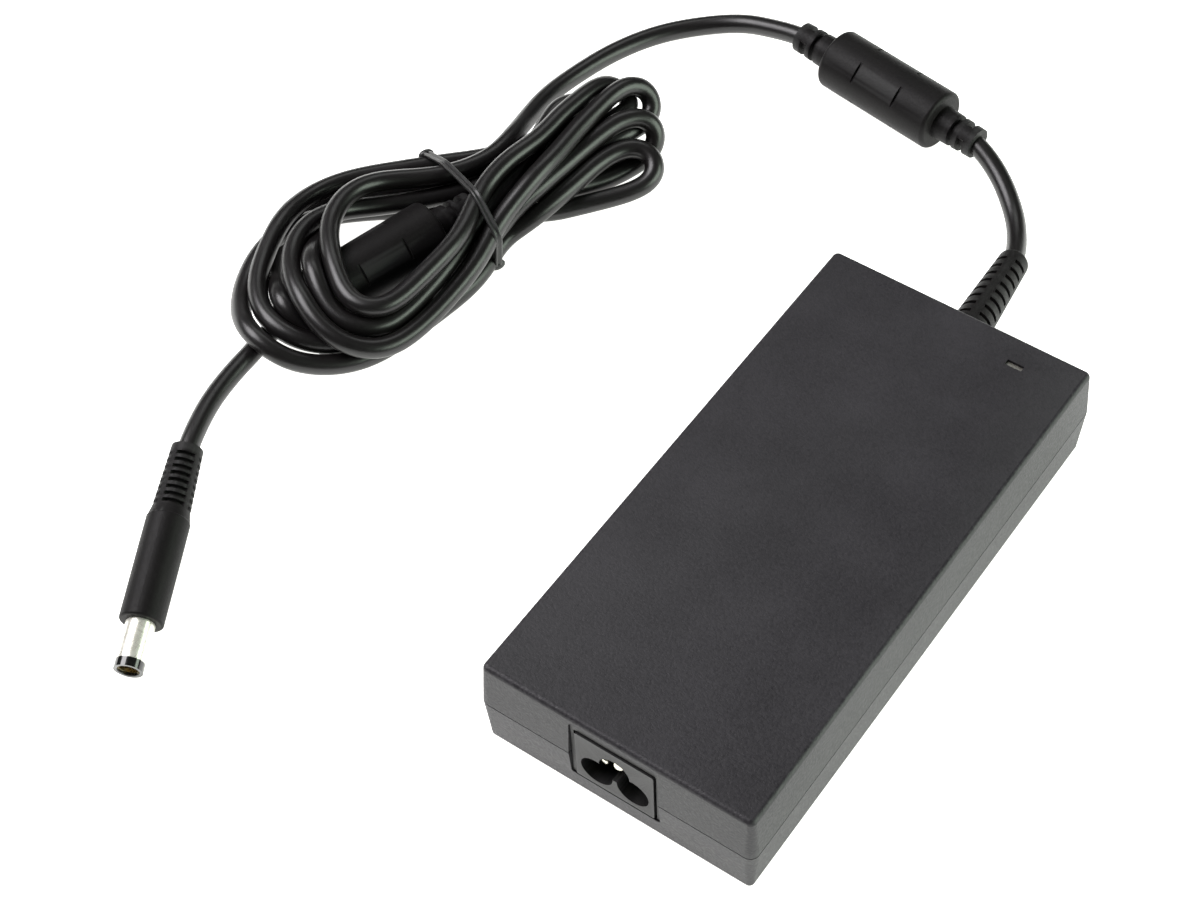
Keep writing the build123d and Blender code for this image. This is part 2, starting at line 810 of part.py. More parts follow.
plug_direction = Vector(*plug_tip) - Vector(*plug_entry)
plug_side = plug_direction.cross(Vector(0, 0, 1))
plug_plane = Plane(origin=plug_entry, x_dir=plug_side.cross(plug_direction), z_dir=plug_direction)
slot_plane = turned(plug_plane, plug_spine_turn - 90)
grip_start = plug_relief_length + plug_shoulder_length
grip_end = grip_start + plug_grip_length
socket_depth = 9.0

with BuildPart() as plug_overmould:
    with BuildSketch(plug_plane.offset(grip_start)):
        Circle(plug_grip_radius)
    extrude(amount=plug_grip_length)
    fillet(plug_overmould.edges().filter_by(GeomType.CIRCLE), 0.6)
    with BuildSketch(plug_plane.offset(plug_relief_length)):
        Circle(plug_relief_radii[1])
    with BuildSketch(plug_plane.offset(grip_start + 0.7)):
        Circle(plug_grip_radius - 0.05)
    loft()
    with BuildSketch(plug_plane):
        Circle(plug_relief_radii[0])
    with BuildSketch(plug_plane.offset(plug_relief_length)):
        Circle(plug_relief_radii[1])
    loft()
    plug_roots = [3.0 + 0.08 * number for number in range(plug_slots)]
    cut_slots(
        slot_plane, plug_first_slot, plug_slot_pitch, plug_slot_width, plug_roots, plug_spine
    )
    with BuildSketch(plug_plane.offset(grip_end - socket_depth)):
        Circle(shank_radius + 0.02)
    extrude(amount=socket_depth + 1, mode=Mode.SUBTRACT)
    add(cord_tail.part, mode=Mode.SUBTRACT)
finish(plug_overmould, "plug_overmould")

barrel_end = grip_end + barrel_length
tip_end = barrel_end + tip_ring_length

with BuildPart() as plug_barrel:
    with BuildSketch(plug_plane.offset(grip_end - socket_depth)):
        Circle(shank_radius)
        Circle(barrel_bore, mode=Mode.SUBTRACT)
    extrude(amount=socket_depth + barrel_length)
    with BuildSketch(plug_plane.offset(grip_end + barrel_neck)):
        Circle(barrel_radius)
        Circle(barrel_bore, mode=Mode.SUBTRACT)
    extrude(amount=barrel_length - barrel_neck)
finish(plug_barrel, "plug_barrel")

with BuildPart() as barrel_insulator:
    with BuildSketch(plug_plane.offset(grip_end - socket_depth)):
        Circle(barrel_bore - 0.02)
        Circle(2.75, mode=Mode.SUBTRACT)
    extrude(amount=socket_depth + barrel_length + 0.1)
    with BuildSketch(plug_plane.offset(barrel_end)):
        Circle(barrel_radius)
        Circle(2.75, mode=Mode.SUBTRACT)
    extrude(amount=tip_ring_length)
    fillet(
        barrel_insulator.edges().filter_by(GeomType.CIRCLE).sort_by(SortBy.DISTANCE)[-1:],
        0.3,
    )
finish(barrel_insulator, "barrel_insulator")

with BuildPart() as inner_contact:
    with BuildSketch(plug_plane.offset(grip_end - socket_depth)):
        Circle(2.73)
        Circle(2.5, mode=Mode.SUBTRACT)
    extrude(amount=tip_end - 0.8 - (grip_end - socket_depth))
finish(inner_contact, "inner_contact")

with BuildPart() as contact_holder:
    with BuildSketch(plug_plane.offset(grip_end - socket_depth)):
        Circle(2.48)
        Circle(0.37, mode=Mode.SUBTRACT)
    extrude(amount=socket_depth)
finish(contact_holder, "contact_holder")

with BuildPart() as centre_pin:
    with BuildSketch(plug_plane.offset(grip_end - socket_depth)):
        Circle(0.35)
    extrude(amount=tip_end - 2.0 - (grip_end - socket_depth))
finish(centre_pin, "centre_pin")

print(len(nodes), "nodes")
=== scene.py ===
"""Looks for the laptop power adapter: brick, cord, tied hank, ferrite sleeves and plug.

Everything is in metres in the CAD frame, apart from the working of the hank and its tie, which is in
millimetres along (u), across (v) and above (z) the hank's long axis.
"""
import json
import math

import bmesh
import bpy
import numpy as np
from mathutils import Matrix, Vector


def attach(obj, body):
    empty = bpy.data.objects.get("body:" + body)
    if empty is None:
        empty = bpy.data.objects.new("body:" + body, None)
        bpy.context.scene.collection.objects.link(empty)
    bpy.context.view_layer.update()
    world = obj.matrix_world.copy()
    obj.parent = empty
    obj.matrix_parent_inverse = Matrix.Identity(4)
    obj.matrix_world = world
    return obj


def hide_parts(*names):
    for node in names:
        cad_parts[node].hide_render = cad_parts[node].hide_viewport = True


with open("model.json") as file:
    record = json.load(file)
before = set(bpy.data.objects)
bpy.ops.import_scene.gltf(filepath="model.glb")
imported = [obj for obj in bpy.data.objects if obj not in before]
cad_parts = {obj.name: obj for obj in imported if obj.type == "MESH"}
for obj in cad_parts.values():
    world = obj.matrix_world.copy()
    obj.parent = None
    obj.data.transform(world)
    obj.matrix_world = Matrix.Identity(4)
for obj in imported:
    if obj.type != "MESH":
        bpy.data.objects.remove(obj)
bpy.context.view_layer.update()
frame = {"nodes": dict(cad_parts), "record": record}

MM = 0.001
scene = bpy.context.scene
nodes = frame["nodes"]


def add_object(name, data):
    """A new object in the scene's own collection."""
    made = bpy.data.objects.new(name, data)
    scene.collection.objects.link(made)
    return made


# ---------------------------------------------------------------- camera

CAMERA_AZIMUTH = math.radians(37.659)
CAMERA_ELEVATION = math.radians(52.258)
CAMERA_ROLL = math.radians(-3.158)
CAMERA_DISTANCE = 0.624518
CAMERA_ASIDE = -0.048018
CAMERA_UP = 0.032802
CAMERA_LENS = 76.046
SENSOR_WIDTH = 36.0


def make_camera():
    """The photo's view: it looks towards the frame's origin and is then shifted aside and up."""
    back = Vector((
        math.sin(CAMERA_AZIMUTH) * math.cos(CAMERA_ELEVATION),
        -math.cos(CAMERA_AZIMUTH) * math.cos(CAMERA_ELEVATION),
        math.sin(CAMERA_ELEVATION),
    ))
    level = (-back).cross(Vector((0, 0, 1))).normalized()
    upright = level.cross(-back)
    right = level * math.cos(CAMERA_ROLL) + upright * math.sin(CAMERA_ROLL)
    up = upright * math.cos(CAMERA_ROLL) - level * math.sin(CAMERA_ROLL)
    place = back * CAMERA_DISTANCE + right * CAMERA_ASIDE + up * CAMERA_UP
    data = bpy.data.cameras.new("camera")
    data.lens = CAMERA_LENS
    data.sensor_width = SENSOR_WIDTH
    data.clip_start = 0.01
    data.clip_end = 20
    camera = add_object("camera", data)
    turn = Matrix((right, up, back)).transposed().to_4x4()
    camera.matrix_world = Matrix.Translation(place) @ turn
    scene.camera = camera


make_camera()

# ---------------------------------------------------------------- cord route

CORD_RADIUS = 0.00275
RELIEF_PIVOT = (0.0, 0.0795, 0.0146)
RELIEF_TIP = (-0.0054, 0.1171, 0.0060)
SLEEVE_RADIUS = 0.00875
SLEEVE_HALF = 0.0193
COLLAR_LENGTH = 0.0128
SLEEVE_REACH = SLEEVE_HALF + COLLAR_LENGTH
SLEEVE_STRAIGHT = 0.007  # from a collar's end to the next control point inside
SLEEVE_1 = (-0.0661, 0.1524, SLEEVE_RADIUS)
SLEEVE_1_HEADING = 171.2
SLEEVE_2 = (-0.1465, 0.0200, SLEEVE_RADIUS)
SLEEVE_2_HEADING = 254.3
PLUG_START = (-0.14485, -0.05813, 0.01266)
PLUG_END = (-0.1181, -0.1132, 0.00366)
INSIDE_PLUG = (0.006, 0.014)


def heading(degrees):
    """A level direction, turned anticlockwise from the frame's x axis."""
    return Vector((math.cos(math.radians(degrees)), math.sin(math.radians(degrees)), 0))


def through_sleeve(centre, degrees):
    """Control points that carry the cord straight through a sleeve."""
    line = heading(degrees)
    inside = SLEEVE_REACH - SLEEVE_STRAIGHT
    return [Vector(centre) + line * reach for reach in (-SLEEVE_REACH, -inside, inside, SLEEVE_REACH)]


plug_line = (Vector(PLUG_END) - Vector(PLUG_START)).normalized()
relief_line = Vector(RELIEF_TIP) - Vector(RELIEF_PIVOT)

lead_route = [
    Vector(RELIEF_PIVOT),
    Vector(RELIEF_PIVOT) + relief_line / 3,
    Vector(RELIEF_PIVOT) + relief_line * 2 / 3,
    Vector(RELIEF_TIP),
    Vector((-0.0090, 0.1258, 0.0040)),
    Vector((-0.0146, 0.1344, 0.0035)),
    Vector((-0.0242, 0.1429, 0.0059)),
]
run_route = [
    Vector((-0.1068, 0.1576, 0.0069)),
    Vector((-0.1180, 0.1570, 0.0043)),
    Vector((-0.1288, 0.1500, 0.00295)),
    Vector((-0.1376, 0.1400, 0.0028)),
    Vector((-0.1439, 0.1270, 0.0028)),
    Vector((-0.1470, 0.1120, 0.0037)),
    Vector((-0.1474, 0.0991, 0.0059)),
]
tail_route = [
    Vector((-0.1539, -0.0213, 0.0095)),
    Vector((-0.1527, -0.0326, 0.0108)),
    Vector((-0.1507, -0.0424, 0.0119)),
    Vector((-0.1478, -0.0509, 0.0126)),
    Vector(PLUG_START),
    *(Vector(PLUG_START) + plug_line * reach for reach in INSIDE_PLUG),
]
HANK_ENTRY = Vector((-0.1451, 0.0872, 0.0083))

# ---------------------------------------------------------------- hank

# The hank's own axes: u along it from the big loops to the small ones, v across it, from the tie.
TIE_CENTRE = Vector((-0.1370, 0.0490, 0))
HANK_HEADING = 61.4
u_axis = heading(HANK_HEADING)
v_axis = heading(HANK_HEADING + 90)

STRAND = 2.75  # a strand's radius
STEP = 2.75  # between the points of the worked line
# A turn's outline is laid out on the plan as it looks from above and in front. A strand that lies
# higher than the outline was drawn at is shifted along this slope, per millimetre of height.
SLOPE = np.array((-0.31, -0.71))
BIG_ANGLES = range(76, 296, 20)
SMALL_ANGLES = range(100, -116, -36)

STRAIGHT = 9.0  # how far a strand keeps to its line on each side of the tie
STRAIGHT_RISE = 7.6  # the length that its slope is taken over on the way out
UNDER_DRAWN = 10.0  # the greatest height that a strand under the tie is drawn at
RETURN_SHARE = 0.45  # how far along a small loop its way back has a point of its own
RETURN_DROP = 2.0

# The way in to the first turn: u, v, height, height drawn at.
WAY_IN = [(17.5, 14.8, 10.5, UNDER_DRAWN), (8.5, 12.3, 11.5, UNDER_DRAWN)]
FIRST_BACK = (12.9, 12.0)
# The way out into the second sleeve's collar: length past the collar's end, height.
SLEEVE_AXIS = 8.75
WAY_OUT = [(-7, 8.15), (0, SLEEVE_AXIS), (6, SLEEVE_AXIS), (12, SLEEVE_AXIS)]
# What the strands lie over: half lengths and radii of the second sleeve and of its collars.
BODY_ROD_HALF = 17.3
COLLAR_ROD_HALF = 29
COLLAR_ROD_RADIUS = 4.5

# How the strands are pushed apart.
SETTLE_ROUNDS = 420
CLOSING_ROUNDS = 40  # the last rounds, which only clear what still touches
CLEARANCE = 0.08
NEIGHBOURS = 6  # points fewer steps apart than this are not pushed apart
SEARCH_EVERY = 12  # rounds between two searches for strands that are near each other
SEARCH_REACH = 3  # how much further apart than touching they may be to be found
SHORT_BEND = (1, 0.1)  # how bends in the shift are spread: points apart, share
LONG_BEND = (3, 0.07)
PUSH = 0.3  # the share of an overlap that each of two strands is moved by at a time
LIFT = 0.6  # the share of a missing height that is made up at a time
SINK = 0.985  # the share of its lift that a strand keeps from round to round
FOLLOW = 0.06  # how fast a strand's place on the plan follows its height
RIDE_OVER = 0.35  # a strand that would ride lower than this share of the reach passes beside the rod
SLEEVE_POINTS = 14  # the last points, which run into the sleeve's collar instead of over it
FIXED_START = 5  # points at each end that stay where they were laid
FIXED_END = 7
HIDDEN_ENDS = 6  # points at each end that the routes before and after stand for

# big: middle u, v, half length, half width, lean, height, height drawn at
# up: v at the tie, height, height drawn at, slope on the plan
# rise: u, v, height, height drawn at
# small: middle u, v, half length, half width, tilt, height going, height coming back
# back: v at the tie, height
TURNS = [
    dict(big=(-27.6, -1.2, 15.8, 22.6, 6.8, 13.0, 10), up=(-3.6, 14.0, 12, 1.05),
         rise=(24.5, 10.4, 13.5, 12), small=(53.6, 18.6, 7.2, 5.2, 14, 13.5, 4.5), back=(21.3, 8.0)),
    dict(big=(-35.6, 0.9, 22.4, 26.9, 6.0, 8.0, 8), up=(-10.5, 7.5, 7.5, 0.75),
         rise=(27.0, 4.4, 8.0, 6), small=(54.0, 7.4, 7.0, 6.2, 6, 8.5, 2.75), back=(8.1, 8.0)),
    dict(big=(-34.0, -8.8, 17.2, 25.2, 3.5, 10.0, 8), up=(-14.0, 12.3, 12, 0.92),
         rise=(26.0, 2.2, 12.5, 12), small=(57.8, 15.0, 7.2, 5.0, 18, 13.5, 4.0), back=(14.0, 4.5)),
    dict(big=(-29.4, -2.0, 17.2, 24.6, 6.0, 8.0, 8), up=(-6.0, 7.5, 7.5, 0.8),
         rise=(24.0, 10.0, 7.0, 7), small=(43.4, 15.2, 7.4, 7.2, 16, 7.0, 2.75), back=(19.0, 3.0)),
    dict(big=(-39.8, -2.4, 17.6, 28.8, 3.2, 3.0, 5), up=(-8.5, 3.0, 3, 0.7),
         rise=(24.0, 6.0, 4.0, 4), small=(48.4, 10.8, 7.0, 7.0, 14, 5.0, 2.75), back=(8.5, 3.0)),
    dict(big=(-39.3, -3.4, 28.0, 26.1, 4.3, 3.5, 3), up=(-10.2, 3.0, 3, 0.86),
         rise=(24.0, -0.6, 5.5, 4), small=(48.1, -2.4, 9.0, 7.4, 0, 7.0, 2.75), back=(1.8, 8.0)),
]


def to_hank(point):
    """A point of the frame, in metres, on the hank's axes, in millimetres."""
    aside = Vector(point) - TIE_CENTRE
    return np.array((aside.dot(u_axis), aside.dot(v_axis), aside.z)) / MM


def from_hank(point):
    """A point on the hank's axes, in millimetres, as a point of the frame, in metres."""
    u, v, z = (float(value) * MM for value in point)
    return TIE_CENTRE + u_axis * u + v_axis * v + Vector((0, 0, z))


def circle_step(angle):
    """The cosine and sine of an angle in degrees."""
    return math.cos(math.radians(angle)), math.sin(math.radians(angle))


def turn_points(turn, back_v, back_z):
    """One turn: from the tie round the big loop, back through the tie and round the small one."""
    rows = [(0.0, back_v, back_z, min(back_z, UNDER_DRAWN))]
    mid_u, mid_v, half_length, half_width, lean, height, drawn = turn["big"]
    for angle in BIG_ANGLES:
        across, along = circle_step(angle)
        u = mid_u + half_length * across + lean * along
        rows.append((u, mid_v + half_width * along, height, drawn))
    up_v, up_z, drawn, slope = turn["up"]
    rows.append((-STRAIGHT, up_v - STRAIGHT * slope, up_z, drawn))
    rows.append((0.0, up_v, up_z, drawn))
    rows.append((STRAIGHT, up_v + STRAIGHT_RISE * slope, up_z, drawn))
    rows.append(turn["rise"])
    mid_u, mid_v, half_length, half_width, tilt, going, coming = turn["small"]
    tilt_across, tilt_along = circle_step(tilt)
    for angle in SMALL_ANGLES:
        across, along = circle_step(angle)
        u = mid_u + half_length * across * tilt_across - half_width * along * tilt_along
        v = mid_v + half_length * across * tilt_along + half_width * along * tilt_across
        height = coming + (going - coming) * (1 + along) / 2
        rows.append((u, v, height, height))
    next_v = turn["back"][0]
    return_v = 0.5 * (mid_v - half_width) + 0.5 * (next_v - RETURN_DROP)
    rows.append((mid_u * RETURN_SHARE, return_v, coming, coming))
    return rows


def smooth_through(points, step, pieces=12):
    """Even steps along a smooth line through the points, worked out in pieces between each two."""
    padded = np.vstack((2 * points[0] - points[1], points, 2 * points[-1] - points[-2]))
    fine = []
    for a, b, c, d in zip(padded, padded[1:], padded[2:], padded[3:]):
        for t in np.linspace(0, 1, pieces, endpoint=False):
            cubic = (3 * b - a - 3 * c + d) * t**3
            fine.append(0.5 * (2 * b + (c - a) * t + (2 * a - 5 * b + 4 * c - d) * t**2 + cubic))
    fine.append(points[-1])
    fine = np.array(fine)
    runs = np.r_[0, np.cumsum(np.linalg.norm(np.diff(fine[:, :3], axis=0), axis=1))]
    marks = np.linspace(0, runs[-1], int(runs[-1] / step) + 1)
    return np.stack([np.interp(marks, runs, column) for column in fine.T], 1)


def stiffen(shift, gap, share):
    """Spreads a bend in the shift over its neighbours, gap points apart."""
    bend = (-shift[:-4 * gap] + 4 * shift[gap:-3 * gap] - 6 * shift[2 * gap:-2 * gap]
            + 4 * shift[3 * gap:-gap] - shift[4 * gap:])
    shift[2 * gap:-2 * gap] += share * bend


def soften(points, rounds=12):
    """Rounds the laid out line, and moves it to where its height puts it: a line of u, v and height."""
    plan = points[:, :2].copy()
    height = points[:, 2].copy()
    drawn = points[:, 3].copy()
    for _ in range(rounds):
        height[1:-1] = 0.5 * height[1:-1] + 0.25 * (height[:-2] + height[2:])
        drawn[1:-1] = 0.5 * drawn[1:-1] + 0.25 * (drawn[:-2] + drawn[2:])
        plan[1:-1] += 0.3 * (0.5 * (plan[:-2] + plan[2:]) - plan[1:-1])
    return np.c_[plan + SLOPE * (height - drawn)[:, None], height]


def floor_under(place, rods):
    """The lowest height that each point may have, on the floor or on a rod under it."""
    floor = np.full(len(place), STRAND)
    for start, end, radius in rods:
        line = (end - start)[:2]
        share = np.clip((place[:, :2] - start[:2]) @ line / (line @ line), 0, 1)
        on = start + share[:, None] * (end - start)
        side = np.linalg.norm(place[:, :2] - on[:, :2], axis=1)
        reach = radius + STRAND
        top = on[:, 2] + np.sqrt(np.clip(reach**2 - side**2, 0, None))
        over = (side < reach) & (top > on[:, 2] + RIDE_OVER * reach)
        over[-SLEEVE_POINTS:] = False
        floor = np.where(over, np.maximum(floor, top), floor)
    return floor


def settle(home, fixed, rods):
    """Pushes strands that share a place apart, up off the floor and over the rods under them."""
    place = home.copy()
    keep = place[fixed].copy()
    first, second = np.triu_indices(len(place), NEIGHBOURS)
    touch = 2 * STRAND + CLEARANCE
    for number in range(SETTLE_ROUNDS):
        closing = number > SETTLE_ROUNDS - CLOSING_ROUNDS
        shift = place - home
        stiffen(shift, *SHORT_BEND)
        if not closing:
            stiffen(shift, *LONG_BEND)
            shift[:, 2] *= SINK
            shift[:, :2] += FOLLOW * (SLOPE * shift[:, 2:3] - shift[:, :2])
        place = home + shift
        if number % SEARCH_EVERY == 0:
            gap = np.linalg.norm(place[first] - place[second], axis=1)
            near = gap < touch + SEARCH_REACH
            one, other = first[near], second[near]
        for _ in range(2):
            aside = place[one] - place[other]
            gap = np.linalg.norm(aside, axis=1) + 1e-9
            hit = gap < touch
            move = aside[hit] * (PUSH * (touch - gap[hit]) / gap[hit])[:, None]
            np.add.at(place, one[hit], move)
            np.add.at(place, other[hit], -move)
            lift = np.clip(floor_under(place, rods) - place[:, 2], 0, None)
            place[:, 2] += lift if closing else LIFT * lift
            place[:, 2] = np.maximum(place[:, 2], STRAND)
        place[fixed] = keep
    return place


def hank_points():
    """The hank's settled line, and the second sleeve's direction, both on the hank's axes."""
    before = to_hank(run_route[-1])
    entry = to_hank(HANK_ENTRY)
    rows = [(*before, before[2]), (*entry, entry[2]), *WAY_IN]
    back_v, back_z = FIRST_BACK
    for turn in TURNS:
        rows += turn_points(turn, back_v, back_z)
        back_v, back_z = turn["back"]
    centre = to_hank(SLEEVE_2)
    line = np.array((*circle_step(SLEEVE_2_HEADING - HANK_HEADING), 0))
    collar = centre - line * SLEEVE_REACH / MM
    for reach, height in WAY_OUT:
        rows.append((*(collar + line * reach)[:2], height, height))
    path = smooth_through(np.array(rows), STEP)
    tail = [to_hank(point) for point in (through_sleeve(SLEEVE_2, SLEEVE_2_HEADING)[-1], *tail_route[:2])]
    rods = [
        (centre - line * BODY_ROD_HALF, centre + line * BODY_ROD_HALF, SLEEVE_RADIUS / MM),
        (centre - line * COLLAR_ROD_HALF, centre + line * COLLAR_ROD_HALF, COLLAR_ROD_RADIUS),
        (tail[0], tail[1], STRAND),
        (tail[1], tail[2], STRAND),
    ]
    fixed = np.r_[0:FIXED_START, len(path) - FIXED_END:len(path)]
    return settle(soften(path), fixed, rods), line


hank, sleeve_line = hank_points()
hank_route = [from_hank(point) for point in hank[HIDDEN_ENDS:-HIDDEN_ENDS:2]]

cord_points = (
    lead_route + through_sleeve(SLEEVE_1, SLEEVE_1_HEADING) + run_route + [HANK_ENTRY]
    + hank_route + through_sleeve(SLEEVE_2, SLEEVE_2_HEADING)[1:] + tail_route
)


def make_cord(points):
    """One smooth round curve on the control points."""
    curve = bpy.data.curves.new("cord", "CURVE")
    curve.dimensions = "3D"
    spline = curve.splines.new("NURBS")
    spline.points.add(len(points) - 1)
    for control, point in zip(spline.points, points):
        control.co = (*point, 1)
    spline.order_u = 3
    spline.use_endpoint_u = True
    spline.resolution_u = 5
    curve.bevel_depth = CORD_RADIUS
    curve.bevel_resolution = 5
    curve.use_fill_caps = True
    return add_object("cord", curve)


cord = make_cord(cord_points)


def read_line(piece):
    """The cord's own centreline, as points in metres."""
    depth = piece.data.bevel_depth
    piece.data.bevel_depth = 0
    mesh = bpy.data.meshes.new_from_object(piece)
    piece.data.bevel_depth = depth
    line = np.array([vertex.co[:] for vertex in mesh.vertices])
    bpy.data.meshes.remove(mesh)
    return line


cord_line = read_line(cord)

# ---------------------------------------------------------------- materials

NOISE_ROUGHNESS = 0.55
BLEND_SPREAD = (0.35, 0.65)  # the part of the mixed noise that goes from dark to light
GRAIN_SPREAD = (0.3, 0.7)
EDGE_SPREAD = (0.53, 0.62)  # the pointiness that counts as a rubbed edge
EDGE_SHARE = 0.7


def node_tree(name):
    """A new material with a bare principled shader."""
    material = bpy.data.materials.new(name)
    material.use_nodes = True
    tree = material.node_tree
    tree.nodes.clear()
    output = tree.nodes.new("ShaderNodeOutputMaterial")
    shader = tree.nodes.new("ShaderNodeBsdfPrincipled")
    tree.links.new(shader.outputs["BSDF"], output.inputs["Surface"])
    return material, tree, shader


def noise(tree, place, scale, detail):
    """A noise texture's value at the place."""
    node = tree.nodes.new("ShaderNodeTexNoise")
    node.inputs["Scale"].default_value = scale
    node.inputs["Detail"].default_value = detail
    node.inputs["Roughness"].default_value = NOISE_ROUGHNESS
    tree.links.new(place, node.inputs["Vector"])
    return node.outputs["Fac"]


def remap(tree, value, low, high, to_low, to_high):
    """Stretches the span from low to high of a value over a new span."""
    node = tree.nodes.new("ShaderNodeMapRange")
    node.inputs["From Min"].default_value = low
    node.inputs["From Max"].default_value = high
    node.inputs["To Min"].default_value = to_low
    node.inputs["To Max"].default_value = to_high
    tree.links.new(value, node.inputs["Value"])
    return node.outputs["Result"]


def mix_colours(tree, share, first, second):
    """Mixes two colours, each a tuple or another node's output."""
    node = tree.nodes.new("ShaderNodeMix")
    node.data_type = "RGBA"
    tree.links.new(share, node.inputs["Factor"])
    # this node has a socket for each kind of value, and these are the ones for colours
    input_a, input_b, output = node.inputs[6], node.inputs[7], node.outputs[2]
    for socket, colour in ((input_a, first), (input_b, second)):
        if isinstance(colour, tuple):
            socket.default_value = (*colour, 1)
        else:
            tree.links.new(colour, socket)
    return output


def surface(name, dark, light, rough, patch=60.0, grain=1800.0, depth=0.00002, strength=0.5,
            worn=None, metallic=0.0, specular=0.5, coat=0.0, transmission=0.0, sheen=0.0):
    """Colour varies between dark and light in patches and in the grain; roughness and bump follow the
    grain; worn is the colour that edges take where they are rubbed."""
    material, tree, shader = node_tree(name)
    place = tree.nodes.new("ShaderNodeTexCoord").outputs["Object"]
    patches = noise(tree, place, patch, detail=4.0)
    fine = noise(tree, place, grain, detail=2.0)
    halved = tree.nodes.new("ShaderNodeMath")
    halved.operation = "MULTIPLY"
    halved.inputs[1].default_value = 0.5
    tree.links.new(patches, halved.inputs[0])
    blend = tree.nodes.new("ShaderNodeMath")
    blend.operation = "MULTIPLY_ADD"
    blend.inputs[1].default_value = 0.5
    tree.links.new(fine, blend.inputs[0])
    tree.links.new(halved.outputs[0], blend.inputs[2])
    share = remap(tree, blend.outputs[0], *BLEND_SPREAD, 0.0, 1.0)
    colour = mix_colours(tree, share, dark, light)
    if worn is not None:
        geometry = tree.nodes.new("ShaderNodeNewGeometry")
        edge = remap(tree, geometry.outputs["Pointiness"], *EDGE_SPREAD, 0.0, EDGE_SHARE)
        colour = mix_colours(tree, edge, colour, worn)
    tree.links.new(colour, shader.inputs["Base Color"])
    tree.links.new(remap(tree, fine, *GRAIN_SPREAD, *rough), shader.inputs["Roughness"])
    bump = tree.nodes.new("ShaderNodeBump")
    bump.inputs["Strength"].default_value = strength
    bump.inputs["Distance"].default_value = depth
    tree.links.new(fine, bump.inputs["Height"])
    tree.links.new(bump.outputs["Normal"], shader.inputs["Normal"])
    shader.inputs["Metallic"].default_value = metallic
    shader.inputs["Specular IOR Level"].default_value = specular
    shader.inputs["Coat Weight"].default_value = coat
    shader.inputs["Sheen Weight"].default_value = sheen
    shader.inputs["Transmission Weight"].default_value = transmission
    return material


